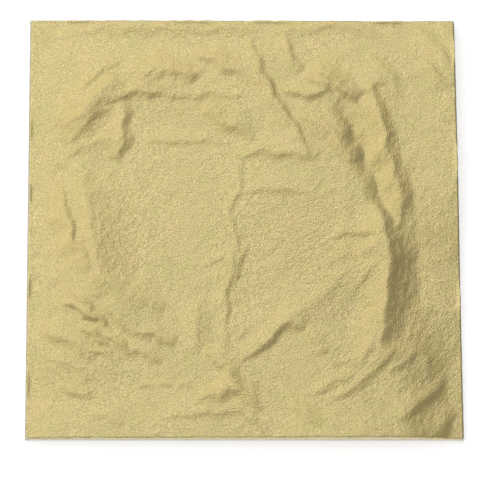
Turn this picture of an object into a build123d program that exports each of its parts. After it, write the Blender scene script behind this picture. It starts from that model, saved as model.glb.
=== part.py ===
from build123d import *
import os
from math import hypot, pi, sin

# Leaf booklet: a block of square imitation gold leaves, each lying on its own tissue page. The pages are
# glued along the left edge and held by a paper strip between two cards. The booklet lies open at its first
# leaf, with the front card and the flyleaf folded right back underneath.
# X runs from the spine to the fore edge, Y along the spine from foot to head, Z up.
# The origin is the middle of the underside. Lengths are millimetres.

# Sheets
leaf_side = 140.0  # the leaf is square, and pages and cards are trimmed flush with it
page_count = 25
leaf_thickness = 0.02  # the real leaf is about a micron, so this stands for leaf and the air it traps
tissue_thickness = 0.03
card_thickness = 0.25

# Spine
glue_thickness = 0.10
strip_thickness = 0.08
strip_lap = 9.0  # how far the strip runs in under the back card

# Clearances
page_gap = 0.02  # air between one page and the next
leaf_gap = 0.02  # air under the loose top leaf
root_gap = 0.05  # from the pages' bound edge to the glue
card_gap = 0.05  # from the folded-back card to the strip above it
hinge_clearance = 0.05  # from the strip's outer face to the hinge line

# Form of the top leaf: it rises slowly from the spine to a crest near the fore edge, and beyond the crest it
# falls away in its lower part
rise_height = 2.2
fall_height = 1.9
corner_fall = 0.9  # how much further the lower right corner falls
rise_end_share = 0.9
crest_share = 0.83  # where across the leaf the fall begins
fall_full_share = 0.3  # up to here the fall is whole, and over the next share it fades out
fall_fade_share = 0.34

# Creases of the top leaf: the tallest ridge, and its steep and its gentle flank
crease_height = 1.5
steep_flank = 9.0
gentle_flank = 18.0
crease_end_power = 0.6  # a crease runs out at both its ends, the more evenly the nearer this is to 1
facet_count = 14  # facets along each side of the top leaf

# The main creases, each as points from the leaf's lower left corner and a height, all as shares. The steep
# flank is on the right of the way the points run.
ridge_shares = (
    (((0.815, 0.16), (0.806, 0.25), (0.832, 0.40), (0.80, 0.55)), 1.0),
    (((0.85, 0.46), (0.862, 0.56), (0.822, 0.71), (0.795, 0.86)), 0.7),
    (((0.83, 0.45), (0.78, 0.62), (0.727, 0.78), (0.70, 0.85)), 0.8),
    (((0.26, 0.28), (0.172, 0.46), (0.155, 0.55), (0.125, 0.65)), 0.6),
    (((0.56, 0.26), (0.68, 0.335), (0.76, 0.41), (0.828, 0.48)), 0.5),
    (((0.72, 0.65), (0.68, 0.745), (0.60, 0.785)), 0.6),
    (((0.65, 0.905), (0.715, 0.855), (0.76, 0.83), (0.82, 0.85)), 0.5),
    (((0.12, 0.79), (0.19, 0.825), (0.24, 0.848), (0.29, 0.822)), 0.5),
    (((0.05, 0.60), (0.15, 0.675), (0.225, 0.705)), 0.3),
    (((0.66, 0.64), (0.575, 0.80), (0.54, 0.88), (0.505, 0.97)), 0.3),
    (((0.65, 0.095), (0.73, 0.135), (0.838, 0.23)), 0.3),
    (((0.39, 0.10), (0.47, 0.11), (0.53, 0.07)), 0.3),
)

# Layers from the table up
flyleaf_bottom = 0.0
front_card_bottom = flyleaf_bottom + tissue_thickness
front_card_top = front_card_bottom + card_thickness
strip_bottom = front_card_top + card_gap
back_card_bottom = strip_bottom + strip_thickness
back_card_top = back_card_bottom + card_thickness
page_pitch = tissue_thickness + leaf_thickness + page_gap
first_tissue_bottom = back_card_top + page_gap + (page_count - 1) * page_pitch
first_tissue_top = first_tissue_bottom + tissue_thickness
top_leaf_bottom = first_tissue_top + leaf_gap

# Across the spine, from the outer face of the strip to the fore edge
booklet_width = leaf_side + root_gap + glue_thickness + strip_thickness
spine_face = -booklet_width / 2
glue_face = spine_face + strip_thickness
page_root = glue_face + glue_thickness + root_gap
foot = -leaf_side / 2


def slab(left, width, bottom, thickness):
    """A flat sheet of the booklet's full height, from its left edge and its underside."""
    corner = Pos(left, foot, bottom)
    return corner * Box(width, leaf_side, thickness, align=(Align.MIN, Align.MIN, Align.MIN))


def write(shape, node):
    """Write one node's file."""
    shape.label = node
    export_step(shape, f"parts/{node}.step")


def page_bottom(number):
    """Height of a page's underside, page 1 being the top one."""
    return first_tissue_bottom - (number - 1) * page_pitch


def eased(value):
    """0 below 0, 1 above 1, and an even curve between."""
    value = min(max(value, 0), 1)
    return value * value * (3 - 2 * value)


def crease(points, x, y):
    """Share of a crease's height at a point, x and y from the leaf's lower left corner."""
    line = [(leaf_side * px, leaf_side * py) for px, py in points]
    nearest, flank = leaf_side, gentle_flank
    place, walked = 0, 0
    for (x0, y0), (x1, y1) in zip(line, line[1:]):
        run_x, run_y = x1 - x0, y1 - y0
        run = hypot(run_x, run_y)
        along = ((x - x0) * run_x + (y - y0) * run_y) / run**2
        along = min(max(along, 0), 1)
        distance = hypot(x - x0 - along * run_x, y - y0 - along * run_y)
        if distance < nearest:
            on_right = run_x * (y - y0) < run_y * (x - x0)
            nearest, flank = distance, steep_flank if on_right else gentle_flank
            place = walked + along * run
        walked += run
    ends = max(sin(pi * place / walked), 0) ** crease_end_power
    return ends * max(1 - nearest / flank, 0) ** 2


def leaf_height(x, y):
    """How far the top leaf stands off its page, x and y from its lower left corner."""
    across, up = x / leaf_side, y / leaf_side
    beyond = max(across - crest_share, 0) / (1 - crest_share)
    low_part = 1 - eased((up - fall_full_share) / fall_fade_share)
    corner_part = max(fall_full_share - up, 0) / fall_full_share
    height = rise_height * eased(across / rise_end_share)
    height -= beyond * (fall_height * low_part + corner_fall * corner_part)
    height += sum(share * crease_height * crease(points, x, y) for points, share in ridge_shares)
    return max(height, 0)


def facet(*corners):
    """One flat face through its corners."""
    return Face(Wire.make_polygon(corners, close=True))


def creased_leaf(bottom):
    """The top leaf as a thin folded sheet of flat facets, the same thickness everywhere."""
    step = leaf_side / facet_count
    count = range(facet_count + 1)
    lower = {}
    upper = {}
    for i in count:
        for j in count:
            z = bottom + leaf_height(i * step, j * step)
            lower[i, j] = Vector(page_root + i * step, foot + j * step, z)
            upper[i, j] = lower[i, j] + Vector(0, 0, leaf_thickness)
    faces = []
    for i in range(facet_count):
        for j in range(facet_count):
            a, b, c, d = (i, j), (i + 1, j), (i + 1, j + 1), (i, j + 1)
            for grid in (lower, upper):
                faces.append(facet(grid[a], grid[b], grid[c]))
                faces.append(facet(grid[a], grid[c], grid[d]))
    last = facet_count
    for i in range(facet_count):
        for a, b in (
            ((i, 0), (i + 1, 0)),
            ((i, last), (i + 1, last)),
            ((0, i), (0, i + 1)),
            ((last, i), (last, i + 1)),
        ):
            faces.append(facet(lower[a], lower[b], upper[b], upper[a]))
    return Solid(Shell(faces))


def spine_strip():
    """Paper strip: up the whole spine, and in under the back card."""
    wall = slab(spine_face, strip_thickness, strip_bottom, first_tissue_top - strip_bottom)
    lap = slab(spine_face, strip_lap, strip_bottom, strip_thickness)
    return wall + lap


os.makedirs("parts", exist_ok=True)

write(slab(spine_face, booklet_width, flyleaf_bottom, tissue_thickness), "flyleaf")
write(slab(spine_face, booklet_width, front_card_bottom, card_thickness), "front_card")
write(spine_strip(), "spine_strip")
write(slab(glue_face, booklet_width - strip_thickness, back_card_bottom, card_thickness), "back_card")
write(slab(glue_face, glue_thickness, back_card_top, first_tissue_top - back_card_top), "spine_glue")

for number in range(1, page_count + 1):
    bottom = page_bottom(number)
    write(slab(page_root, leaf_side, bottom, tissue_thickness), f"tissue_{number:02d}")
    if number == 1:
        write(creased_leaf(top_leaf_bottom), f"leaf_{number:02d}")
    else:
        write(slab(page_root, leaf_side, bottom + tissue_thickness, leaf_thickness), f"leaf_{number:02d}")

hinge_x = spine_face - hinge_clearance
page_hinge_z = first_tissue_top
card_hinge_z = front_card_top / 2
print("page hinge line at x, z:", round(hinge_x, 4), round(page_hinge_z, 4))
print("front card hinge line at x, z:", round(hinge_x, 4), round(card_hinge_z, 4))
print("height at the spine:", round(first_tissue_top, 3))
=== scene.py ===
# %% [markdown]
# A gold leaf booklet, opened at its first leaf. The leaf is beaten metal, thinner than any paper, so it
# keeps every crease that a breath or a finger gives it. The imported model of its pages, cards and spine is
# exact and nearly flat. This lesson gives it what that model lacks: creased sheets that nest in each other,
# and materials that behave like metal leaf, tissue, card and dried glue.

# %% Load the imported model
import math

import bpy
import numpy as np
from mathutils import Matrix, Vector


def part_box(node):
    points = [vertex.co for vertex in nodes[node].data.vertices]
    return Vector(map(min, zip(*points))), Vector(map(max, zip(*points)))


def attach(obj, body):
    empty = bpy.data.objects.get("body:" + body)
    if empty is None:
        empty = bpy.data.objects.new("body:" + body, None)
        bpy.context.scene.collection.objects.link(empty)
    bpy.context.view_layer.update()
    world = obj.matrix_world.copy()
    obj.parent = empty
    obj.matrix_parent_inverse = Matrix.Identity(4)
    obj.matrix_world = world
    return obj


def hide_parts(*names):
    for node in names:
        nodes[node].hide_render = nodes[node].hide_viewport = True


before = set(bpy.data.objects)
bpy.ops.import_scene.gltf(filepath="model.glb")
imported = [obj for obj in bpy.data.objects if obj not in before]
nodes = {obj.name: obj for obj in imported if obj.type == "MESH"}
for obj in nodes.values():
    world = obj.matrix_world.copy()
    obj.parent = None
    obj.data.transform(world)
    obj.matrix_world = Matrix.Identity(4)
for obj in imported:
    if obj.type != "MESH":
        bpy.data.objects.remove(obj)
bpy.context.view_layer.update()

# %% [markdown]
# Every length is in metres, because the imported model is. Writing a length as a number times mm keeps it
# readable. Places on a sheet are shares of its side, counted from the foot of the spine, so the creases
# stay where they belong if the booklet gets another size.

# %% Sizes that the rest is built from
mm = 0.001
leaf_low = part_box("leaf_01")[0]
page_low, page_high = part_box("tissue_01")
second_low, second_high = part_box("leaf_02")
card_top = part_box("back_card")[1].z
side = page_high.x - page_low.x
tissue_thickness = page_high.z - page_low.z
leaf_thickness = second_high.z - second_low.z
print("side mm:", round(side / mm, 2), "tissue mm:", round(tissue_thickness / mm, 3))

# %% [markdown]
# Beaten leaf doesn't bend in even curves. It breaks over into creases: a ridge whose one flank is short and
# steep, while the other runs out far and gently. They could be sculpted by hand, but a list of lines can be
# read, moved and reused at any fineness. So each crease is its points, its height in mm, and its flanks'
# widths in mm, first on the right of the way the points run. A height below 0 is a valley. The tallest
# crest stands near the fore edge, with a valley beside it that makes it look folded over and not swollen.

# %% Creases of the crest at the right
right_creases = {
    "right_crest_high": (((0.85, 0.49), (0.866, 0.55), (0.862, 0.6), (0.845, 0.64), (0.834, 0.68),
        (0.83, 0.72), (0.82, 0.765), (0.81, 0.81), (0.798, 0.85)), 0.9, 5, 8),
    "right_crest_low": (((0.836, 0.17), (0.81, 0.225), (0.816, 0.27), (0.823, 0.31), (0.832, 0.36),
        (0.838, 0.42), (0.832, 0.46), (0.822, 0.51), (0.8, 0.56)), 1.2, 9, 13),
    "inner_right": (((0.852, 0.47), (0.844, 0.52), (0.83, 0.545), (0.812, 0.6), (0.79, 0.655),
        (0.768, 0.71), (0.745, 0.765), (0.718, 0.815)), -1.0, 10, 6.5),
    "wedge_line": (((0.838, 0.62), (0.815, 0.68), (0.785, 0.725), (0.762, 0.765)), 0.3, 2.4, 5),
}
print("creases at the right:", len(right_creases))

# %% [markdown]
# At the upper left the leaf was pushed together into low peaks. Several creases of different lengths lie
# close beside each other there, because one alone would look like a pressed rib.

# %% Creases of the peaks at the upper left
peak_creases = {
    "peak_left": (((0.07, 0.735), (0.13, 0.79), (0.175, 0.828), (0.208, 0.866)), 0.85, 8, 9),
    "peak_low": (((0.17, 0.8), (0.21, 0.812), (0.26, 0.826), (0.31, 0.823)), 0.4, 3, 5),
    "peak_hook": (((0.255, 0.855), (0.275, 0.878), (0.3, 0.893), (0.292, 0.92)), 0.3, 2.4, 7),
    "peak_spread": (((0.29, 0.862), (0.32, 0.885), (0.36, 0.875), (0.385, 0.845)), 0.7, 6, 8),
    "peak_broad": (((0.08, 0.72), (0.17, 0.81), (0.28, 0.855), (0.38, 0.84)), 0.4, 10, 11),
    "arc_line": (((0.095, 0.79), (0.13, 0.845), (0.16, 0.877), (0.205, 0.898)), 0.4, 2.2, 7),
}
print("creases in the peaks:", len(peak_creases))

# %% [markdown]
# Down the left side run long folds. The innermost is wide and soft, so it takes the light as a broad band.

# %% Creases down the left side
left_creases = {
    "left_band": (((0.09, 0.7), (0.145, 0.76), (0.2, 0.79)), 0.5, 5, 9),
    "left_upright": (((0.205, 0.655), (0.214, 0.7), (0.214, 0.75), (0.224, 0.805)), 0.7, 4.5, 10),
    "left_diagonal": (((0.04, 0.625), (0.1, 0.672), (0.15, 0.7), (0.215, 0.722)), 0.3, 6, 10),
    "left_long": (((0.15, 0.395), (0.125, 0.43), (0.105, 0.46), (0.088, 0.52), (0.075, 0.61)), 0.65, 2.4, 8),
    "left_low": (((0.092, 0.29), (0.088, 0.36), (0.092, 0.42)), 0.2, 4, 6),
    "left_inner": (((0.31, 0.295), (0.262, 0.322), (0.21, 0.345), (0.17, 0.38), (0.155, 0.43),
        (0.145, 0.49), (0.135, 0.55), (0.122, 0.61), (0.115, 0.66)), 1.05, 13, 16),
}
print("creases at the left:", len(left_creases))

# %% [markdown]
# The lower left corner is the most crumpled. Short sharp crinkles slant down through it, and longer, lower
# folds lie beside and below them.

# %% Creases of the lower left corner
low_left_creases = {
    "crinkle_a": (((0.082, 0.316), (0.11, 0.31), (0.135, 0.292), (0.16, 0.276), (0.182, 0.25)), 0.8, 1.9, 4),
    "crinkle_b": (((0.095, 0.35), (0.125, 0.325), (0.15, 0.298)), 0.6, 1.4, 3.5),
    "crinkle_c": (((0.115, 0.262), (0.15, 0.243), (0.188, 0.215)), 0.5, 1.7, 4),
    "crinkle_d": (((0.18, 0.254), (0.205, 0.23), (0.232, 0.205)), 0.6, 1.6, 4),
    "crinkle_e": (((0.135, 0.215), (0.165, 0.2), (0.2, 0.178)), 0.25, 1.6, 4),
    "low_left_arc": (((0.175, 0.32), (0.2, 0.29), (0.222, 0.263), (0.25, 0.25), (0.29, 0.243),
        (0.34, 0.215)), 0.55, 4, 9),
    "low_left_second": (((0.19, 0.212), (0.225, 0.203), (0.26, 0.208), (0.31, 0.175)), 0.35, 3.0, 7),
    "low_left_third": (((0.03, 0.25), (0.08, 0.238), (0.12, 0.215), (0.15, 0.18)), 0.4, 4.0, 8),
    "low_left_fourth": (((0.04, 0.19), (0.09, 0.178), (0.125, 0.155), (0.15, 0.13)), 0.25, 3.6, 8),
    "low_left_fifth": (((0.07, 0.125), (0.11, 0.112), (0.15, 0.09)), 0.35, 3, 6),
}
print("creases at the lower left:", len(low_left_creases))

# %% [markdown]
# Along the foot the folds are low and nearly level. The three dashes are one faint fold that shows only
# here and there, so it is drawn in three pieces.

# %% Creases along the foot
foot_creases = {
    "foot_left": (((0.14, 0.055), (0.18, 0.055), (0.22, 0.03)), 0.2, 3, 7),
    "foot_high": (((0.39, 0.095), (0.44, 0.103), (0.463, 0.122), (0.485, 0.115), (0.505, 0.09),
        (0.53, 0.065)), 0.6, 4, 7),
    "foot_low": (((0.29, 0.05), (0.35, 0.056), (0.4, 0.06), (0.47, 0.065), (0.5, 0.055), (0.53, 0.03),
        (0.55, 0.0)), 0.25, 2.8, 8),
    "foot_dash_a": (((0.25, 0.119), (0.265, 0.121), (0.285, 0.124)), 0.2, 1.0, 1.8),
    "foot_dash_b": (((0.3, 0.124), (0.318, 0.125), (0.335, 0.125)), 0.2, 1.0, 1.8),
    "foot_dash_c": (((0.345, 0.123), (0.36, 0.125), (0.375, 0.124)), 0.2, 1.0, 1.8),
    "foot_diagonal": (((0.4, 0.205), (0.43, 0.187), (0.46, 0.157), (0.49, 0.12)), 0.45, 2.6, 6),
    "foot_right": (((0.6, 0.11), (0.612, 0.075), (0.635, 0.05), (0.68, 0.03)), 0.35, 3.5, 7),
    "foot_ridge": (((0.56, 0.0), (0.7, 0.0), (0.84, 0.0)), 0.5, 3, 14),
}
print("creases along the foot:", len(foot_creases))

# %% [markdown]
# Along the head the leaf is creased beside its own edge and, further in, above the flat middle. In the
# right corner short creases turn round each other.

# %% Creases along the head and in its right corner
head_creases = {
    "head_left": (((0.04, 0.955), (0.1, 0.968), (0.17, 0.985), (0.3, 0.982), (0.45, 0.985),
        (0.56, 0.98)), 0.28, 4, 5),
    "head_right": (((0.56, 0.968), (0.64, 0.98), (0.72, 0.988), (0.78, 0.98), (0.84, 0.945)), 0.3, 4, 5),
    "inner_head": (((0.25, 0.822), (0.32, 0.818), (0.375, 0.812), (0.42, 0.826), (0.455, 0.814),
        (0.52, 0.812)), 0.22, 1.8, 7),
    "inner_head_dark": (((0.585, 0.836), (0.62, 0.822), (0.65, 0.817), (0.68, 0.82),
        (0.715, 0.828)), 0.5, 3, 8),
    "corner_dark": (((0.67, 0.89), (0.7, 0.862), (0.72, 0.842), (0.742, 0.82), (0.765, 0.8)), 0.9, 2.6, 8),
    "corner_curl": (((0.745, 0.838), (0.77, 0.826), (0.795, 0.835), (0.81, 0.855),
        (0.84, 0.84)), 0.3, 2.4, 7),
    "corner_inner": (((0.645, 0.87), (0.67, 0.855), (0.7, 0.825)), 0.5, 2, 6),
    "shoulder_arc": (((0.862, 0.81), (0.848, 0.86), (0.82, 0.895), (0.79, 0.915)), 0.3, 4, 8),
    "head_corner": (((0.99, 0.89), (0.955, 0.935), (0.93, 0.965), (0.9, 0.995)), 0.3, 2.4, 7),
    "head_corner_low": (((0.99, 0.84), (0.955, 0.865), (0.925, 0.91)), 0.35, 3, 7),
    "head_tick": (((0.645, 0.875), (0.618, 0.902), (0.604, 0.93), (0.6, 0.965)), 0.4, 1.8, 5),
}
print("creases along the head:", len(head_creases))

# %% [markdown]
# Long diagonals and a few level lines cross the upper half. Each line has one narrow flank, so it looks
# like a place where the leaf was once folded. The smudges between them are broad and low.

# %% Creases across the upper half
upper_creases = {
    "long_diagonal": (((0.655, 0.665), (0.632, 0.715), (0.613, 0.75), (0.592, 0.778), (0.572, 0.805),
        (0.56, 0.84), (0.543, 0.875), (0.53, 0.91), (0.512, 0.96)), 0.5, 2.6, 9),
    "upper_diagonal": (((0.385, 0.932), (0.42, 0.908), (0.46, 0.887), (0.51, 0.852)), 0.5, 3.4, 8),
    "centre_diagonal": (((0.4, 0.79), (0.44, 0.762), (0.48, 0.742), (0.52, 0.71)), 0.55, 5, 9),
    "smudge": (((0.62, 0.78), (0.66, 0.753), (0.7, 0.73), (0.735, 0.69), (0.75, 0.65)), 0.5, 6, 9),
    "smudge_low": (((0.73, 0.66), (0.745, 0.72), (0.735, 0.77)), 0.12, 5, 8),
    "level_high": (((0.48, 0.66), (0.53, 0.68), (0.58, 0.677), (0.63, 0.67), (0.68, 0.663)), 0.36, 3.2, 9),
    "level_low": (((0.48, 0.58), (0.55, 0.588), (0.6, 0.59), (0.635, 0.58), (0.68, 0.56)), 0.22, 3.2, 9),
    "left_level": (((0.235, 0.706), (0.3, 0.703), (0.38, 0.703), (0.47, 0.7)), 0.2, 1.8, 6),
}
print("creases across the upper half:", len(upper_creases))

# %% [markdown]
# One thin line runs up the middle, with branches like a crack in ice. From its foot a strong fold leads to
# the right, and above that fold rays fan out to the crest. The longest ray is broad and soft, with a sharp
# core.

# %% Creases of the middle and the rays
middle_creases = {
    "centre_high": (((0.468, 0.51), (0.475, 0.55), (0.488, 0.59), (0.495, 0.66)), 0.16, 1.6, 6),
    "centre_low": (((0.455, 0.19), (0.456, 0.27), (0.457, 0.32), (0.463, 0.37), (0.476, 0.42),
        (0.484, 0.45), (0.476, 0.48), (0.468, 0.53)), 0.26, 1.7, 6),
    "centre_second": (((0.476, 0.36), (0.482, 0.4), (0.498, 0.43), (0.505, 0.46)), 0.3, 1.6, 4),
    "centre_branch": (((0.4, 0.4), (0.43, 0.415), (0.465, 0.43)), 0.2, 2, 5),
    "centre_soft": (((0.385, 0.2), (0.39, 0.27), (0.4, 0.33)), 0.32, 5, 7),
    "centre_ray": (((0.462, 0.215), (0.48, 0.243), (0.51, 0.262), (0.56, 0.285)), 0.15, 3.4, 7),
    "strong_fold": (((0.49, 0.185), (0.53, 0.212), (0.56, 0.235), (0.585, 0.257), (0.605, 0.268),
        (0.64, 0.258)), 0.5, 2.6, 10),
    "fold_end": (((0.64, 0.265), (0.66, 0.24), (0.685, 0.195)), 0.3, 2.4, 6),
    "ray_low": (((0.56, 0.26), (0.68, 0.335), (0.76, 0.41), (0.828, 0.48)), 0.45, 11, 12),
    "ray_core": (((0.735, 0.325), (0.765, 0.365), (0.785, 0.395), (0.815, 0.425)), 0.2, 2.5, 5),
    "ray_middle": (((0.66, 0.405), (0.73, 0.425), (0.78, 0.44), (0.828, 0.475)), 0.25, 3, 7),
    "ray_high": (((0.69, 0.472), (0.75, 0.484), (0.79, 0.488), (0.828, 0.485)), 0.4, 2.4, 7),
}
print("creases of the middle:", len(middle_creases))

# %% [markdown]
# Below the crest the leaf falls towards the table, and streaks run down that slope into the corner. The
# shelf is a wide shallow valley that makes the slope hollow.

# %% Creases of the lower right
low_right_creases = {
    "low_right": (((0.68, 0.08), (0.73, 0.107), (0.765, 0.128), (0.79, 0.152), (0.812, 0.18),
        (0.84, 0.205)), 0.33, 3, 7),
    "low_right_second": (((0.655, 0.1), (0.7, 0.128), (0.755, 0.158)), 0.28, 2.4, 5),
    "low_upright": (((0.765, 0.16), (0.782, 0.205), (0.795, 0.26)), 0.3, 3, 6),
    "right_streak": (((0.835, 0.145), (0.86, 0.168), (0.88, 0.19), (0.905, 0.215)), 0.35, 2.6, 6),
    "corner_streak_a": (((0.85, 0.04), (0.885, 0.072), (0.91, 0.097), (0.935, 0.122),
        (0.96, 0.155)), 0.45, 3, 8),
    "corner_streak_b": (((0.92, 0.0), (0.955, 0.035), (0.995, 0.08)), 0.45, 3.6, 8),
    "right_upright": (((0.925, 0.13), (0.918, 0.18), (0.905, 0.23)), 0.3, 4, 6),
    "right_middle": (((0.985, 0.24), (0.96, 0.33), (0.935, 0.42), (0.9, 0.56)), 0.15, 5, 8),
    "right_shelf": (((0.905, 0.3), (0.905, 0.42), (0.9, 0.52), (0.89, 0.64)), -0.42, 12, 8),
}
crease_shares = {**right_creases, **peak_creases, **left_creases, **low_left_creases, **foot_creases,
                 **head_creases, **upper_creases, **middle_creases, **low_right_creases}
print("creases:", len(crease_shares))

# %% [markdown]
# A crease is worked out and not drawn: each point of a sheet finds the nearest place on the crease's line,
# and takes a height that falls with its distance from there. That gives the same crease on a fine sheet and
# on a coarse one. It fades out at both ends, and its flanks get narrower there, as where a fold runs out.

# %% Work out one crease's height at every point of a sheet
end_power = 0.6  # the nearer to 0, the further out towards its ends a crease keeps its height
narrow_end = 0.4  # share of its width that a flank still has where the crease ends
ridge_share = 0.25  # share of the right flank over which one flank's width turns into the other's
flank_fullness = 0.6  # how much a flank bulges before it runs out


def smooth(value):
    """0 below 0, 1 above 1, and an even curve between."""
    value = np.clip(value, 0, 1)
    return value * value * (3 - 2 * value)


def crease_height(x, y, points, height, right_flank, left_flank):
    """Height of one crease at the points x, y, which are measured from the foot of the spine."""
    line = np.array(points) * side
    nearest = np.full(x.shape, side)
    across, along = np.zeros(x.shape), np.zeros(x.shape)
    walked = 0.0
    for start, end in zip(line[:-1], line[1:]):
        length = np.hypot(*(end - start))
        way = (end - start) / length
        reach = np.clip((x - start[0]) * way[0] + (y - start[1]) * way[1], 0, length)
        off_x, off_y = x - start[0] - reach * way[0], y - start[1] - reach * way[1]
        distance = np.hypot(off_x, off_y)
        closer = distance < nearest
        nearest = np.where(closer, distance, nearest)
        across = np.where(closer, way[0] * off_y - way[1] * off_x, across)
        along = np.where(closer, walked + reach, along)
        walked += length
    fade = np.sin(np.pi * np.clip(along / walked, 0, 1)) ** end_power
    lean = 0.5 + 0.5 * np.clip(across / (ridge_share * right_flank * mm), -1, 1)
    width = (right_flank + (left_flank - right_flank) * lean) * mm
    out = np.clip(nearest / (width * (narrow_end + (1 - narrow_end) * fade)), 0, 1)
    return height * mm * fade * (1 - out) ** 2 * (1 + flank_fullness * out)


middle = np.array([side / 2])
trial = crease_height(middle, middle, ((0.4, 0.5), (0.6, 0.5)), 1.0, 4.0, 8.0)
print("a crease of 1 mm is, at its middle, mm:", round(float(trial[0]) / mm, 3))

# %% [markdown]
# Between the creases the leaf is full of fine wrinkles that run the way the metal was pulled. A patch of
# wrinkles is an ellipse with a direction. Inside it, seeded waves are folded at their middle value, and
# that turns a soft swell into thin sharp lines. Each set of waves has its own seed, so the booklet comes
# out the same every time.

# %% Patches of fine wrinkles: centre, half size, turn in degrees, height mm, spacing mm, run mm
wrinkle_shares = {
    "right_band": ((0.875, 0.36), (0.06, 0.34), 84, 0.075, 2.4, 9),
    "low_corner": ((0.92, 0.16), (0.12, 0.22), 58, 0.06, 3.6, 14),
    "right_strip": ((0.95, 0.40), (0.07, 0.25), 105, 0.03, 2.6, 13),
    "ray_fan": ((0.72, 0.40), (0.16, 0.14), 32, 0.048, 3.0, 14),
    "level_fan": ((0.62, 0.50), (0.20, 0.16), 6, 0.027, 3.0, 12),
    "left_inner_band": ((0.21, 0.47), (0.07, 0.22), 118, 0.075, 2.4, 8),
    "crinkles": ((0.14, 0.27), (0.09, 0.07), -38, 0.078, 2.2, 8),
    "low_left": ((0.13, 0.16), (0.16, 0.12), -32, 0.055, 2.6, 8),
    "peaks": ((0.25, 0.84), (0.15, 0.06), 25, 0.07, 2.6, 7),
    "left_bands": ((0.13, 0.73), (0.10, 0.10), 42, 0.05, 2.6, 10),
    "upper_right": ((0.70, 0.74), (0.13, 0.12), -62, 0.03, 2.8, 10),
    "head_centre": ((0.55, 0.87), (0.10, 0.10), -65, 0.036, 2.4, 8),
    "crests": ((0.83, 0.70), (0.05, 0.20), 106, 0.02, 2.4, 10),
    "low_right_folds": ((0.76, 0.13), (0.14, 0.10), 34, 0.055, 3.0, 10),
    "foot_folds": ((0.47, 0.10), (0.12, 0.09), -10, 0.05, 2.4, 8),
    "inner_head": ((0.36, 0.78), (0.16, 0.06), 10, 0.045, 2.2, 6),
    "centre_line": ((0.47, 0.40), (0.04, 0.22), 85, 0.03, 2.0, 7),
    "head": ((0.35, 0.97), (0.35, 0.03), 3, 0.021, 2.4, 8),
}
print("patches of fine wrinkles:", len(wrinkle_shares))

# %% Waves, folds and wrinkles
wave_count = 22
wave_steps = (0.4, 1.7)  # how far the spacing of single waves varies, the higher the finer
fold_limit = 1.2  # waves beyond this are flat ground between two lines
patch_rim = 1.3  # how far out a patch ends, where 1 is its ellipse
wrinkle_seed = 50


def swell(x, y, turn, spacing, run, seed):
    """Seeded waves, about 1 high, whose crests lie spacing apart and run on for about run, turned by turn."""
    rng = np.random.default_rng(seed)
    along = x * math.cos(turn) + y * math.sin(turn)
    across = y * math.cos(turn) - x * math.sin(turn)
    total = np.zeros(x.shape)
    for _ in range(wave_count):
        step, slip, phase = rng.uniform(*wave_steps), rng.uniform(-1, 1), rng.uniform(0, 2 * math.pi)
        total += np.sin(2 * math.pi * (across * step / spacing + along * slip / run) + phase)
    return total / math.sqrt(wave_count / 2)


def folded(waves):
    """Turns waves into thin ridges between 0 and 1: the middle of each wave becomes a sharp line."""
    return 1 - np.minimum(np.abs(waves), fold_limit) / fold_limit


def patch_distance(x, y, centre, half):
    """0 in the middle of a patch and 1 on its ellipse."""
    return np.hypot((x / side - centre[0]) / half[0], (y / side - centre[1]) / half[1])


def wrinkles(x, y):
    """All the patches of fine wrinkles together."""
    total = np.zeros(x.shape)
    for seed, (centre, half, turn, height, spacing, run) in enumerate(wrinkle_shares.values(), wrinkle_seed):
        lines = folded(swell(x, y, math.radians(turn), spacing * mm, run * mm, seed))
        total += height * mm * smooth(patch_rim - patch_distance(x, y, centre, half)) * lines
    return total


print("waves in each set:", wave_count)

# %% [markdown]
# The finest wrinkles of all are too small for any mesh, so the leaf's material draws them as bump. It can't
# tell which way they run at a place, so the direction of each patch is rounded to one of five, and the
# points of the leaf store how strongly it is streaked along each.

# %% Where the finest streaks run, for the leaf's material
streak_turns = {"level": 0, "rising": 38, "upright": 92, "falling": 124, "sloping": 148}
streak_rim = 1.35


def streak_weights(x, y):
    """For each direction, how strongly the leaf is streaked along it, between 0 and 1."""
    weights = {name: np.zeros(x.shape) for name in streak_turns}
    for centre, half, turn, *_ in wrinkle_shares.values():
        nearest = min(streak_turns, key=lambda name: abs((streak_turns[name] - turn + 90) % 180 - 90))
        strength = smooth(streak_rim - patch_distance(x, y, centre, half))
        weights[nearest] = np.maximum(weights[nearest], strength)
    return weights


print("directions of the finest streaks:", ", ".join(streak_turns))

# %% [markdown]
# Under all the creases the leaf has a slow form. It rises from the spine, where it is held, to the crest,
# and beyond the crest it falls away in its lower part, most of all at the corner. Near the foot the fall is
# soft, and higher up it is steep. A few named shares and heights give this form, so it can be tuned a part
# at a time.

# %% The slow form of a sheet
rise_shares = (0, 0.12, 0.5, 0.83, 0.9, 1)  # places across the leaf, from the spine
rise_heights = (0, 0.65 * mm, 1.35 * mm, 1.9 * mm, 1.8 * mm, 2.5 * mm)
rise_shifts = (-0.06, -0.03, 0, 0.03, 0.06)  # averaged over these, the rise has no corners
head_share, head_dip = 0.14, 0.4 * mm
foot_share, foot_lift = 0.14, 0.35 * mm
crest_share = 0.83  # where across the leaf the fall begins
crest_shift, crest_shift_share = 0.02, 0.24  # how much further out it begins near the foot
fall_height, fall_full_share, fall_fade_share = 1.9 * mm, 0.32, 0.28
soft_fall_share, soft_fall_fade = 0.42, 0.26  # below this the fall turns soft
corner_fall, corner_share, corner_power = 1.4 * mm, 0.30, 1.5


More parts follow.
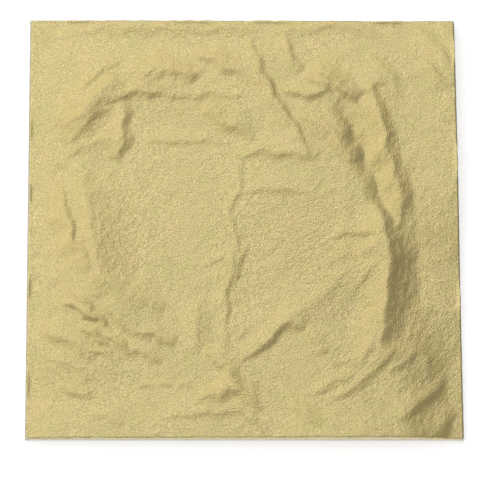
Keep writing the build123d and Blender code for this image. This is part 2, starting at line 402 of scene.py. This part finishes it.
def slow_form(across, up):
    """Height of the leaf without its creases, from shares across it and up it."""
    rises = [np.interp(across + shift, rise_shares, rise_heights) for shift in rise_shifts]
    height = sum(rises) / len(rises)
    height -= head_dip * smooth((up - (1 - head_share)) / head_share)
    height += foot_lift * smooth((foot_share - up) / foot_share)
    low_part = 1 - smooth((up - fall_full_share) / fall_fade_share)
    fall_start = crest_share + crest_shift * smooth((crest_shift_share - up) / crest_shift_share)
    out = np.clip((across - fall_start) / (1 - fall_start), 0, 1)
    soft_part = smooth((soft_fall_share - up) / soft_fall_fade)
    steep_fall, soft_fall = 1 - (1 - out) ** 3, smooth(out)
    height -= fall_height * (steep_fall * (1 - soft_part) + soft_fall * soft_part) * low_part
    height -= corner_fall * out**corner_power * np.clip((corner_share - up) / corner_share, 0, 1)
    return height


crest_height = slow_form(np.array([crest_share]), np.array([0.5]))[0]
print("the slow form's height at the crest, halfway up, mm:", round(float(crest_height) / mm, 2))

# %% [markdown]
# One function adds the creases to the slow form. No crease runs quite straight, so the places are bent a
# little before the lines are looked up. The top leaf and every page below it take their heights from this
# function, and that is why they nest. The crumple, small creases in every direction, is for the top leaf
# alone.

# %% The whole relief of a sheet, and the crumple
spine_share = 0.05  # the relief fades out over this, where the pages are glued
bend_waves = ((14 * mm, 0.35 * mm, 0.3, 0.9), (3.2 * mm, 0.1 * mm, 1.2, 2.1))  # spacing, bend, two turns
bend_seeds = (3, 5)
crumple_sizes = ((9 * mm, 0.05 * mm), (4 * mm, 0.01 * mm), (2.2 * mm, 0.004 * mm))  # spacing and height
crumple_ways = ((0.4, 20), (1.9, 30))  # turn and first seed of the waves that cross each other
crumple_share = 0.7


def relief(x, y):
    """How far a sheet stands off a flat page: the slow form and the creases."""
    bent_x, bent_y = x, y
    for layer, (spacing, bend, x_turn, y_turn) in enumerate(bend_waves):
        bent_x = bent_x + bend * swell(x, y, x_turn, spacing, spacing, bend_seeds[0] + layer)
        bent_y = bent_y + bend * swell(x, y, y_turn, spacing, spacing, bend_seeds[1] + layer)
    height = slow_form(bent_x / side, bent_y / side)
    for points, tall, right_flank, left_flank in crease_shares.values():
        height += crease_height(bent_x, bent_y, points, tall, right_flank, left_flank)
    return np.maximum(height, 0) * smooth(x / side / spine_share)


def crumple(x, y):
    """Small creases in every direction, all over the leaf."""
    total = np.zeros(x.shape)
    for layer, (spacing, height) in enumerate(crumple_sizes):
        waves = sum(swell(x, y, turn, spacing, spacing, seed + layer) for turn, seed in crumple_ways)
        total += height * folded(crumple_share * waves)
    return total


print("relief in the middle of the leaf, mm:", round(float(relief(middle, middle)[0]) / mm, 2))

# %% [markdown]
# Where the leaf's rim isn't held down it curls up in short lips, and a knife never leaves quite a straight
# edge in metal this thin. Both are small, but they tell the eye that this is metal leaf and not card. They
# are made by moving the points of the rim, which costs no new faces.

# %% The leaf's rim
lip_shares = {
    "head": ((0.08, 0.14), (0.33, 0.42), (0.52, 0.61), (0.81, 0.87)),
    "spine": ((0.10, 0.15), (0.33, 0.38), (0.56, 0.60), (0.71, 0.76)),
    "fore_edge": ((0.30, 0.36), (0.62, 0.70), (0.90, 0.95)),
}
lip_height, lip_width = 0.4 * mm, 1.4 * mm
lip_end = 1.5  # where a lip ends along the rim, where 1 is the end of its stretch
ragged, ragged_spacing, ragged_seeds = 0.16 * mm, 5 * mm, (71, 72)
corner_wear = 0.3 * mm
on_rim = mm / 1000  # a point nearer than this to an edge is on it


def rim_lips(x, y):
    """Short stretches of the rim that curl up."""
    places = {"head": (x, side - y), "spine": (y, x), "fore_edge": (y, side - x)}
    total = np.zeros(x.shape)
    for edge, stretches in lip_shares.items():
        along, inwards = places[edge]
        for start, end in stretches:
            middle_share, half_share = (start + end) / 2, (end - start) / 2
            run = smooth(lip_end - np.abs(along / side - middle_share) / half_share)
            total += lip_height * run * np.clip(1 - inwards / lip_width, 0, 1) ** 2
    return total


def drawn_in(along, seed):
    """How far the rim is drawn in at each place along it."""
    waves = swell(along, np.zeros(along.shape), 0, ragged_spacing, ragged_spacing, seed)
    return ragged * (0.5 + 0.5 * np.tanh(waves))


def ragged_rim(x, y):
    """Draws the points of the rim in by a little, here more and there less, and blunts the corners."""
    inner_x, inner_y = x.copy(), y.copy()
    drawn_x, drawn_y = drawn_in(y, ragged_seeds[0]), drawn_in(x, ragged_seeds[1])
    for edge, way in ((0, 1), (side, -1)):
        inner_x = np.where(np.abs(x - edge) < on_rim, inner_x + way * drawn_x, inner_x)
        inner_y = np.where(np.abs(y - edge) < on_rim, inner_y + way * drawn_y, inner_y)
    corner = (np.minimum(x, side - x) < on_rim) & (np.minimum(y, side - y) < on_rim)
    inner_x += np.where(corner, np.sign(side / 2 - x) * corner_wear, 0)
    inner_y += np.where(corner, np.sign(side / 2 - y) * corner_wear, 0)
    return inner_x, inner_y


print("lips along the rim:", sum(len(stretches) for stretches in lip_shares.values()))

# %% [markdown]
# A sheet starts as a grid primitive, which has points in its middle to bend, where a plane has none. Each
# point then gets its own height. Solidify turns the bent surface into a sheet with a real thickness, so it
# can be seen from both sides and measured.

# %% Make a flat grid, and read and write its points
def only(obj):
    """Select one object and nothing else."""
    bpy.ops.object.select_all(action="DESELECT")
    obj.select_set(True)
    bpy.context.view_layer.objects.active = obj


def flat_sheet(name, cells):
    """A square grid where the pages lie, at height 0."""
    middle = ((page_low.x + page_high.x) / 2, (page_low.y + page_high.y) / 2, 0)
    bpy.ops.mesh.primitive_grid_add(x_subdivisions=cells, y_subdivisions=cells, size=side, location=middle)
    sheet = bpy.context.object
    sheet.name = name
    only(sheet)
    bpy.ops.object.transform_apply(location=True, rotation=True, scale=True)
    print(name, "has points:", len(sheet.data.vertices))
    return sheet


def read_points(obj):
    """The points of a mesh, one row each."""
    points = np.empty(len(obj.data.vertices) * 3)
    obj.data.vertices.foreach_get("co", points)
    return points.reshape(-1, 3)


def write_points(obj, heights, x=None, y=None):
    """Put every point of a sheet at its own height, and at a new place where one is given."""
    points = read_points(obj)
    points[:, 2] = heights
    if x is not None:
        points[:, 0], points[:, 1] = page_low.x + x, page_low.y + y
    obj.data.vertices.foreach_set("co", points.ravel())
    obj.data.update()


def store(obj, name, values):
    """Keep a number on each point of a mesh, where a material can read it."""
    obj.data.attributes.new(name, "FLOAT", "POINT").data.foreach_set("value", values)


# %% [markdown]
# The top leaf is what the photograph shows, so its grid is the finest: once it has its thickness, it has
# nearly 200,000 triangles. It takes the relief, the crumple, the wrinkles and the lips, and stores the
# streaks.

# %% The top leaf
top_leaf_cells = 218
top_leaf = flat_sheet("top_gold_leaf", top_leaf_cells)
top_x, top_y = (read_points(top_leaf)[:, :2] - (page_low.x, page_low.y)).T


def top_relief(x, y):
    """All of the top leaf's relief but the lips of its rim."""
    return relief(x, y) + crumple(x, y) + wrinkles(x, y)


top_heights = top_relief(top_x, top_y) + rim_lips(top_x, top_y)
write_points(top_leaf, leaf_low.z + top_heights, *ragged_rim(top_x, top_y))
for name, weights in streak_weights(top_x, top_y).items():
    store(top_leaf, name + "_streaks", weights)
print("top leaf stands off its page by mm:", round(top_heights.max() / mm, 2))

# %% [markdown]
# Light that is thrown back and forth inside a fold picks up the metal's colour each time, so the flanks of a
# crease look deeper in tone than the open leaf. The renderer can't follow that in wrinkles finer than its
# mesh. So the steepness of the leaf is stored on its points, and shade is painted into the material's colour
# with it: the steeper the leaf, the darker and deeper its colour, on lit flanks as on shaded ones.

# %% How steep the leaf is at each point, for the painted shade
full_slope = 0.16  # from this slope on, the steepness counts as 1
step = 0.4 * mm
slope_x = (top_relief(top_x + step, top_y) - top_relief(top_x - step, top_y)) / (2 * step)
slope_y = (top_relief(top_x, top_y + step) - top_relief(top_x, top_y - step)) / (2 * step)
steepness = np.clip(np.hypot(slope_x, slope_y) / full_slope, 0, 1)
store(top_leaf, "steepness", steepness)
print("mean steepness:", round(float(steepness.mean()), 3))

# %% [markdown]
# The sheets below are pressed into the same creases, but less and less towards the flat back card. They
# could be separate grids, but they are one form, so one coarser grid is made and copied. Its faces cut
# straight across what the fine leaf follows and could poke through it, so each of its points takes the
# least height within a cell around it.

# %% The form of the pages below
page_cells = 80
samples_per_cell = 3


def relief_below(x, y):
    """The relief of the sheets under the top leaf: at each point the least one within a cell around it."""
    shifts = np.linspace(-side / page_cells, side / page_cells, 2 * samples_per_cell + 1)
    lowest = np.full(x.shape, side)
    for shift_x in shifts:
        for shift_y in shifts:
            near_x, near_y = np.clip(x + shift_x, 0, side), np.clip(y + shift_y, 0, side)
            lowest = np.minimum(lowest, relief(near_x, near_y))
    return lowest


page_form = flat_sheet("page_form", page_cells)
page_relief = relief_below(*(read_points(page_form)[:, :2] - (page_low.x, page_low.y)).T)
print("the page form's highest point, mm:", round(page_relief.max() / mm, 2))

# %% Copy it once for each sheet
sheet_nodes = [name for name in nodes if name.startswith(("tissue_", "leaf_"))]
layers = sorted(sheet_nodes, key=lambda name: -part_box(name)[0].z)
pages = {"leaf_01": top_leaf}
for node in layers[1:]:
    only(page_form)
    bpy.ops.object.duplicate()
    sheet = bpy.context.object
    sheet.name = ("gold_leaf_" if node.startswith("leaf_") else "interleaf_tissue_") + node[-2:]
    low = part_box(node)[0].z
    write_points(sheet, low + page_relief * (low - card_top) / (leaf_low.z - card_top))
    pages[node] = sheet
bpy.data.objects.remove(page_form)
print("sheets:", len(pages))

# %% [markdown]
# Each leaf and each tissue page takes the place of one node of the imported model, and rides on that node's
# body, so it turns with its page. The top leaf is loose and has a body of its own. Solidify gives each its
# thickness only now, because a copy of the bare form is quicker to make and to bend.

# %% Give each sheet its thickness and its place
def apply_modifier(obj, kind, **settings):
    """Add one modifier, set it, and apply it."""
    only(obj)
    modifier = obj.modifiers.new(kind.lower(), kind)
    for name, value in settings.items():
        setattr(modifier, name, value)
    bpy.ops.object.modifier_apply(modifier=modifier.name)


def finish_sheet(sheet, node, thickness, body):
    """Give a sheet its thickness and its place in the booklet."""
    apply_modifier(sheet, "SOLIDIFY", thickness=thickness, offset=1.0)
    only(sheet)
    bpy.ops.object.shade_smooth()
    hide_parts(node)
    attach(sheet, body)


for node, below in zip(layers, layers[1:] + ["back_card"]):
    is_leaf = node.startswith("leaf_")
    thickness = leaf_thickness if is_leaf else tissue_thickness
    body = "top_leaf" if node == "leaf_01" else "page_" + node[-2:]
    finish_sheet(pages[node], node, thickness, body)
triangles = sum(len(face.vertices) - 2 for sheet in pages.values() for face in sheet.data.polygons)
print("triangles of all sheets:", triangles)

# %% [markdown]
# Materials come last, when the shapes stand. Colours are written as sRGB hex codes, as a picture editor
# shows them, and one function turns them into the linear values that shaders take. Patterns read Object
# coordinates, which are metres on these pieces, so a pattern's size can be written in millimetres.

# %% Helpers for materials
def linear(code):
    """A colour written as an sRGB hex code, as the linear values that shaders take."""
    values = [int(code[i : i + 2], 16) / 255 for i in (1, 3, 5)]
    return [v / 12.92 if v <= 0.04045 else ((v + 0.055) / 1.055) ** 2.4 for v in values] + [1.0]


def add_node(tree, kind, links=(), **settings):
    """Add one node, set its properties and sockets, and link (socket, source node, output)."""
    node = tree.nodes.new("ShaderNode" + kind)
    for name, value in settings.items():
        if name in node.inputs:
            node.inputs[name].default_value = value
        else:
            setattr(node, name, value)
    for socket, source, output in links:
        tree.links.new(source.outputs[output], node.inputs[socket])
    return node


def new_material(name, **sockets):
    """A material whose shader has the given values all over."""
    material = bpy.data.materials.new(name)
    material.use_nodes = True
    shader = material.node_tree.nodes["Principled BSDF"]
    for socket, value in sockets.items():
        shader.inputs[socket].default_value = value
    return material, material.node_tree, shader


def finish_material(tree, shader, colour, bump):
    """Link the two things that vary over every one of these surfaces: its colour and its small relief."""
    tree.links.new(colour.outputs["Result"], shader.inputs["Base Color"])
    tree.links.new(bump.outputs["Normal"], shader.inputs["Normal"])


def dress(obj, material):
    """Give a piece one material all over."""
    obj.data.materials.clear()
    obj.data.materials.append(material)


print("half grey is, as a linear value:", round(linear("#808080")[0], 3))

# %% [markdown]
# The leaf is Dutch metal: brass with much copper and some zinc, beaten between skins until it is about a
# thousandth of a millimetre thick. Beating leaves it half bright, with a grain as fine as skin, so it is a
# metal of middling roughness and never a mirror. The soft coat stands for the oily film that dulls its
# highlights. Its colour wanders between the zinc's green and the copper's red, and speckles with the grain.

# %% Colour of the beaten leaf, with painted shade on its steep flanks
mottle_size, mottle_tones = 9 * mm, ("#C1B77B", "#CAB982")
blush_size, blush_strength, copper_blush = 3.2 * mm, 0.28, "#D2B48C"
speck_size, dark_speck, bright_speck = 0.45 * mm, 0.72, 1.28
# Painted shade: on steep flanks the colour is tinted towards a darker gold, standing in for shade in the
# creases.
painted_shade_start, painted_shade_strength, painted_shade_gold = 0.3, 0.45, "#BCA769"


def leaf_colour(tree, here):
    """Mottled and blushed, speckled as finely as the leaf's grain, and darkened with painted shade where it
    is steep.
    """
    mottle = add_node(tree, "TexNoise", here, Scale=1 / mottle_size, Detail=4.0, Roughness=0.7)
    spread = add_node(tree, "MapRange", [("Value", mottle, "Fac")],
                      **{"From Min": 0.3, "From Max": 0.7})
    tone = add_node(tree, "Mix", [("Factor", spread, "Result")], data_type="RGBA",
                    A=linear(mottle_tones[0]), B=linear(mottle_tones[1]))
    patches = add_node(tree, "TexNoise", here, Scale=1 / blush_size, Detail=3.0, Roughness=0.6)
    blush = add_node(tree, "MapRange", [("Value", patches, "Fac")],
                     **{"From Min": 0.4, "From Max": 0.65, "To Max": blush_strength})
    blushed = add_node(tree, "Mix", [("Factor", blush, "Result"), ("A", tone, "Result")],
                       data_type="RGBA", B=linear(copper_blush))
    speck = add_node(tree, "TexNoise", here, Scale=1 / speck_size, Detail=1.0)
    light = add_node(tree, "MapRange", [("Value", speck, "Fac")],
                     **{"From Min": 0.25, "From Max": 0.75, "To Min": dark_speck, "To Max": bright_speck})
    speckled = add_node(tree, "VectorMath", [("Vector", blushed, "Result"), ("Scale", light, "Result")],
                        operation="SCALE")
    # Painted shade: the steeper the leaf here, the more its colour turns to the darker gold.
    steep = add_node(tree, "Attribute", attribute_name="steepness")
    painted_shade_amount = add_node(tree, "MapRange", [("Value", steep, "Fac")],
                     **{"From Min": painted_shade_start, "From Max": 1.0, "To Max": painted_shade_strength})
    return add_node(tree, "Mix", [("Factor", painted_shade_amount, "Result"), ("A", speckled, "Vector")],
                    data_type="RGBA", B=linear(painted_shade_gold))


print("colours of the leaf:", *mottle_tones, copper_blush, painted_shade_gold)

# %% [markdown]
# The finest wrinkles are too small for the mesh and come from bump. A crinkle runs all over the leaf, and
# streaks stretched along the ways the metal was pulled show where their stored weights say, with brown shade
# painted into their folds. The real grain is finer than the picture can show, so it is drawn at half a
# millimetre.

# %% Bump of the beaten leaf, and its material
sharp = 0.9  # the offset that turns a ridged noise into sharp lines
crinkle_size, crinkle_depth = 5 * mm, 0.025 * mm
grain_size, grain_depth = 0.5 * mm, 0.11 * mm
streak_size, streak_depth = (4.2 * mm, 1.6 * mm, 4.2 * mm), 0.045 * mm
# Painted shade: a darker brown is tinted into the folds of the finest streaks.
fold_shade_strength, painted_fold_shade = 0.2, "#A88F58"


def beaten_brass_leaf():
    """Pale gold, half bright, crinkled as finely as skin, with shade painted into its creases."""
    satin = {"Metallic": 1.0, "Roughness": 0.42, "Coat Weight": 0.4, "Coat Roughness": 0.4}
    material, tree, shader = new_material("beaten_brass_leaf", **satin)
    here = [("Vector", add_node(tree, "TexCoord"), "Object")]
    colour = leaf_colour(tree, here)
    crinkle = add_node(tree, "TexNoise", here, noise_type="RIDGED_MULTIFRACTAL",
                       Scale=1 / crinkle_size, Detail=3.0, Roughness=0.5, Distortion=0.8, Offset=sharp)
    bump = add_node(tree, "Bump", [("Height", crinkle, "Fac")], Distance=crinkle_depth)
    grain = add_node(tree, "TexNoise", here, Scale=1 / grain_size, Detail=1.0, Roughness=0.5)
    bump = add_node(tree, "Bump", [("Height", grain, "Fac"), ("Normal", bump, "Normal")],
                    Distance=grain_depth)
    for name, turn in streak_turns.items():
        turned = add_node(tree, "Mapping", here, vector_type="TEXTURE",
                          Rotation=(0, 0, math.radians(turn)), Scale=streak_size)
        lines = add_node(tree, "TexNoise", [("Vector", turned, "Vector")],
                         noise_type="RIDGED_MULTIFRACTAL", Scale=1.0, Detail=2.0, Roughness=0.5,
                         Distortion=1.4, Offset=sharp)
        weight = add_node(tree, "Attribute", attribute_name=name + "_streaks")
        height = add_node(tree, "Math", [(0, lines, "Fac"), (1, weight, "Fac")], operation="MULTIPLY")
        bump = add_node(tree, "Bump", [("Height", height, 0), ("Normal", bump, "Normal")],
                        Distance=streak_depth)
        # Painted shade: where a streak's fold is deep, the colour turns towards the darker brown.
        fold_shade_mask = add_node(tree, "MapRange", [("Value", height, 0)],
                           **{"From Min": 0.6, "From Max": 1.3, "To Max": fold_shade_strength})
        colour = add_node(tree, "Mix", [("Factor", fold_shade_mask, "Result"), ("A", colour, "Result")],
                          data_type="RGBA", B=linear(painted_fold_shade))
    finish_material(tree, shader, colour, bump)
    return material


leaf_gold = beaten_brass_leaf()
print("material:", leaf_gold.name, "nodes:", len(leaf_gold.node_tree.nodes))

# %% [markdown]
# The pages are interleaf tissue: long bleached fibres, laid so thinly that the sheet looks cloudy against
# the light. It is matt, and its fibres give it a faint sheen at low angles. Two noises stretched across
# each other make the fibres, which is cheaper than modelling any, and a third one makes the clouds.

# %% Interleaf tissue
cloud_size, cloud_depth, cloud_tones = 5 * mm, 0.02 * mm, ("#F0ECE2", "#F5F2EA")
fibre_size, fibre_depth, fibre_turns = (4 * mm, 0.4 * mm, 4 * mm), 0.03 * mm, (35, 118)


def interleaf_tissue():
    """Off-white, matt, cloudy, with fine crossing fibres."""
    matt = {"Roughness": 0.82, "Sheen Weight": 0.2, "Sheen Roughness": 0.5, "Specular IOR Level": 0.3}
    material, tree, shader = new_material("bleached_interleaf_tissue", **matt)
    here = [("Vector", add_node(tree, "TexCoord"), "Object")]
    clouds = add_node(tree, "TexNoise", here, Scale=1 / cloud_size, Detail=4.0, Roughness=0.6)
    spread = add_node(tree, "MapRange", [("Value", clouds, "Fac")],
                      **{"From Min": 0.35, "From Max": 0.65})
    tone = add_node(tree, "Mix", [("Factor", spread, "Result")], data_type="RGBA",
                    A=linear(cloud_tones[0]), B=linear(cloud_tones[1]))
    bump = add_node(tree, "Bump", [("Height", clouds, "Fac")], Distance=cloud_depth)
    for turn in fibre_turns:
        turned = add_node(tree, "Mapping", here, vector_type="TEXTURE",
                          Rotation=(0, 0, math.radians(turn)), Scale=fibre_size)
        fibres = add_node(tree, "TexNoise", [("Vector", turned, "Vector")], Scale=1.0, Detail=3.0,
                          Distortion=1.2)
        bump = add_node(tree, "Bump", [("Height", fibres, "Fac"), ("Normal", bump, "Normal")],
                        Distance=fibre_depth)
    finish_material(tree, shader, tone, bump)
    return material


tissue_white = interleaf_tissue()
print("material:", tissue_white.name)

# %% [markdown]
# Both cards are uncoated pulp board, pressed from recycled fibre: matt, slightly uneven in colour, with
# darker flecks of bark and ink. Where hands and shelves rub it, along the rim, it goes paler. A cell
# pattern gives the flecks their scattered places, and the distance to the middle gives the rim.

# %% Pulp card
pulp_size, pulp_tones = 3 * mm, ("#C7BDA9", "#DDD5C4")
fleck_spacing, fleck_strength, bark_brown = 3.5 * mm, 0.7, "#8E8064"
rubbed_width, rubbed_pale = 2.5 * mm, "#F0ECE2"
board_grain, board_depth = 0.6 * mm, 0.08 * mm


def pulp_card():
    """Grey-buff board with flecks, worn paler along its rim."""
    matt = {"Roughness": 0.92, "Specular IOR Level": 0.3}
    material, tree, shader = new_material("uncoated_pulp_card", **matt)
    here = [("Vector", add_node(tree, "TexCoord"), "Object")]
    pulp = add_node(tree, "TexNoise", here, Scale=1 / pulp_size, Detail=6.0, Roughness=0.7)
    base = add_node(tree, "Mix", [("Factor", pulp, "Fac")], data_type="RGBA",
                    A=linear(pulp_tones[0]), B=linear(pulp_tones[1]))
    cells = add_node(tree, "TexVoronoi", here, Scale=1 / fleck_spacing)
    fleck = add_node(tree, "MapRange", [("Value", cells, "Distance")],
                     **{"From Min": 0.05, "From Max": 0.09, "To Min": fleck_strength, "To Max": 0.0})
    flecked = add_node(tree, "Mix", [("Factor", fleck, "Result"), ("A", base, "Result")],
                       data_type="RGBA", B=linear(bark_brown))
    size = add_node(tree, "VectorMath", here, operation="ABSOLUTE")
    parts = add_node(tree, "SeparateXYZ", [("Vector", size, "Vector")])
    rim = add_node(tree, "Math", [(0, parts, "X"), (1, parts, "Y")], operation="MAXIMUM")
    near = add_node(tree, "MapRange", [("Value", rim, 0)],
                    **{"From Min": side / 2 - rubbed_width, "From Max": side / 2, "To Max": 1.0})
    rubbed = add_node(tree, "Math", [(0, near, "Result"), (1, pulp, "Fac")], operation="MULTIPLY")
    tone = add_node(tree, "Mix", [("Factor", rubbed, 0), ("A", flecked, "Result")],
                    data_type="RGBA", B=linear(rubbed_pale))
    fibre = add_node(tree, "TexNoise", here, Scale=1 / board_grain, Detail=4.0, Roughness=0.7)
    bump = add_node(tree, "Bump", [("Height", fibre, "Fac")], Distance=board_depth)
    finish_material(tree, shader, tone, bump)
    return material


card_pulp = pulp_card()
print("material:", card_pulp.name)

# %% [markdown]
# The strip up the spine is binding paper: brown wrapping paper with a machine's fine ribs along the spine.
# The ribs come from a wave, one for the wall of the spine and one for the lap under the card. They are
# drawn about a millimetre apart, which is coarser than real ones, so that they show.

# %% Binding paper
strip_pulp_size, strip_pulp_depth, strip_tones = 2 * mm, 0.05 * mm, ("#B7A684", "#CFC1A2")
rib_spacing, rib_depth = 1.005 * mm, 0.02 * mm
wave_repeat = math.pi / 10  # how far apart a Wave texture's bands are at scale 1


def binding_paper():
    """Tan ribbed paper."""
    material, tree, shader = new_material("ribbed_binding_paper", Roughness=0.85)
    here = [("Vector", add_node(tree, "TexCoord"), "Object")]
    pulp = add_node(tree, "TexNoise", here, Scale=1 / strip_pulp_size, Detail=5.0, Roughness=0.7)
    tone = add_node(tree, "Mix", [("Factor", pulp, "Fac")], data_type="RGBA",
                    A=linear(strip_tones[0]), B=linear(strip_tones[1]))
    bump = add_node(tree, "Bump", [("Height", pulp, "Fac")], Distance=strip_pulp_depth)
    for direction in ("X", "Z"):
        ribs = add_node(tree, "TexWave", here, bands_direction=direction,
                        Scale=wave_repeat / rib_spacing, Distortion=0.6, Detail=1.0)
        bump = add_node(tree, "Bump", [("Height", ribs, "Fac"), ("Normal", bump, "Normal")],
                        Distance=rib_depth)
    finish_material(tree, shader, tone, bump)
    return material


spine_paper = binding_paper()
print("material:", spine_paper.name)

# %% [markdown]
# The glue under the strip is white padding glue, brushed on along the spine and dried to a slightly glossy
# skin, thicker in some strokes than in others. A noise stretched along the spine makes the strokes.

# %% Padding glue
stroke_size, stroke_depth, stroke_tones = (1 * mm, 14 * mm, 0.7 * mm), 0.08 * mm, ("#D9CFB4", "#F1ECDD")


def padding_glue():
    """White glue, brushed along the spine and dried."""
    skin = {"Roughness": 0.38, "Coat Weight": 0.3, "Coat Roughness": 0.2, "IOR": 1.47}
    material, tree, shader = new_material("dried_padding_glue", **skin)
    here = [("Vector", add_node(tree, "TexCoord"), "Object")]
    long_way = add_node(tree, "Mapping", here, vector_type="TEXTURE", Scale=stroke_size)
    strokes = add_node(tree, "TexNoise", [("Vector", long_way, "Vector")], Scale=1.0, Detail=3.0,
                       Distortion=0.4)
    tone = add_node(tree, "Mix", [("Factor", strokes, "Fac")], data_type="RGBA",
                    A=linear(stroke_tones[0]), B=linear(stroke_tones[1]))
    bump = add_node(tree, "Bump", [("Height", strokes, "Fac")], Distance=stroke_depth)
    finish_material(tree, shader, tone, bump)
    return material


spine_glue = padding_glue()
print("material:", spine_glue.name)

# %% [markdown]
# A new sheet and the node that it replaces get the same finish, so the booklet looks right in whichever
# form it is shown. Cards, flyleaf, strip and glue keep their nodes and only get their material.

# %% Put each material on its pieces
finishes = {"front_card": card_pulp, "back_card": card_pulp, "spine_strip": spine_paper,
            "spine_glue": spine_glue}
for name, piece in [*nodes.items(), *pages.items()]:
    dress(piece, finishes.get(name, leaf_gold if name.startswith("leaf_") else tissue_white))
print("dressed nodes and sheets:", len(nodes) + len(pages))

# %% [markdown]
# The stage is a sheet of white paper. It glows only towards the camera and in reflections, so the
# background is white without any more light on the leaf.

# %% The white paper under the booklet
floor_side = 4.0
floor_drop = 0.1 * mm
paper_glow = 0.35
bpy.ops.mesh.primitive_plane_add(size=floor_side, location=(0, 0, -floor_drop))
floor = bpy.context.object
floor.name = "floor"
only(floor)
bpy.ops.object.transform_apply(location=True)
white = {"Base Color": linear("#F4F4F4"), "Roughness": 0.9, "Emission Color": (1, 1, 1, 1)}
paper, tree, shader = new_material("white_sweep_paper", **white)
rays = add_node(tree, "LightPath")
seen = add_node(tree, "Math", [(0, rays, "Is Camera Ray"), (1, rays, "Is Glossy Ray")],
                operation="MAXIMUM")
seen_too = add_node(tree, "Math", [(0, seen, 0), (1, rays, "Is Transmission Ray")],
                    operation="MAXIMUM")
glow = add_node(tree, "Math", [(0, seen_too, 0)], operation="MULTIPLY")
glow.inputs[1].default_value = paper_glow
tree.links.new(glow.outputs[0], shader.inputs["Emission Strength"])
dress(floor, paper)
print("stage:", floor.name, "side m:", floor_side)

# %% [markdown]
# The light is that of a studio with white walls: an even world, a wide soft lamp from the upper left that
# shades the creases, and a low one from the foot that lifts their shaded flanks. Suns light the leaf
# evenly, where a lamp close to it would leave a bright spot.

# %% Light
sky_strength = 0.38
world = bpy.context.scene.world or bpy.data.worlds.new("studio")
bpy.context.scene.world = world
world.use_nodes = True
sky = world.node_tree.nodes["Background"]
sky.inputs["Color"].default_value = (1, 1, 1, 1)
sky.inputs["Strength"].default_value = sky_strength


def soft_sun(name, strength, spread, towards):
    """A lamp far enough away to light the whole leaf evenly, as soft as its spread in degrees."""
    light = bpy.data.lights.new(name, "SUN")
    light.energy = strength
    light.angle = math.radians(spread)
    lamp = bpy.data.objects.new(name, light)
    bpy.context.scene.collection.objects.link(lamp)
    lamp.rotation_euler = (-Vector(towards)).to_track_quat("-Z", "Y").to_euler()
    return lamp


lamps = [soft_sun("key", 2.2, 110, (-0.7, 0.8, 0.8)), soft_sun("foot_fill", 1.0, 40, (0.1, -1, 0.12))]
print("lamps:", *(lamp.name for lamp in lamps))

# %% [markdown]
# The camera looks from where the photograph was taken, as the outline's perspective gives it: steeply down,
# from a little to the left, with its frame rolled. It is far away for so small an object, so its lens is
# long, and the near and the far edge are almost the same length.

# %% Camera
picture_width_px = 477
focal_px = 2760.0
distance = 894 * mm
aim_shift = Vector((-1.91 * mm, -8.17 * mm, 1.2 * mm))  # from the middle of the leaf to the picture's middle
elevation, azimuth, roll = math.radians(76.04), math.radians(-8.61), math.radians(8.54)

camera_data = bpy.data.cameras.new("photo_view")
camera_data.sensor_fit = "HORIZONTAL"
camera_data.sensor_width = 36.0
camera_data.lens = camera_data.sensor_width * focal_px / picture_width_px
camera = bpy.data.objects.new("photo_view", camera_data)
bpy.context.scene.collection.objects.link(camera)
page_middle = Vector(((page_low.x + page_high.x) / 2, (page_low.y + page_high.y) / 2, leaf_low.z))
back = Vector((math.sin(azimuth) * math.cos(elevation), -math.cos(azimuth) * math.cos(elevation),
               math.sin(elevation)))
level = Vector((math.cos(azimuth), math.sin(azimuth), 0))
right = math.cos(roll) * level + math.sin(roll) * back.cross(level)
turn = Matrix((right, back.cross(right), back)).transposed().to_4x4()
camera.matrix_world = Matrix.Translation(page_middle + aim_shift + distance * back) @ turn
bpy.context.scene.camera = camera
bpy.context.scene.view_settings.view_transform = "Standard"
print("lens mm:", round(camera_data.lens, 1))
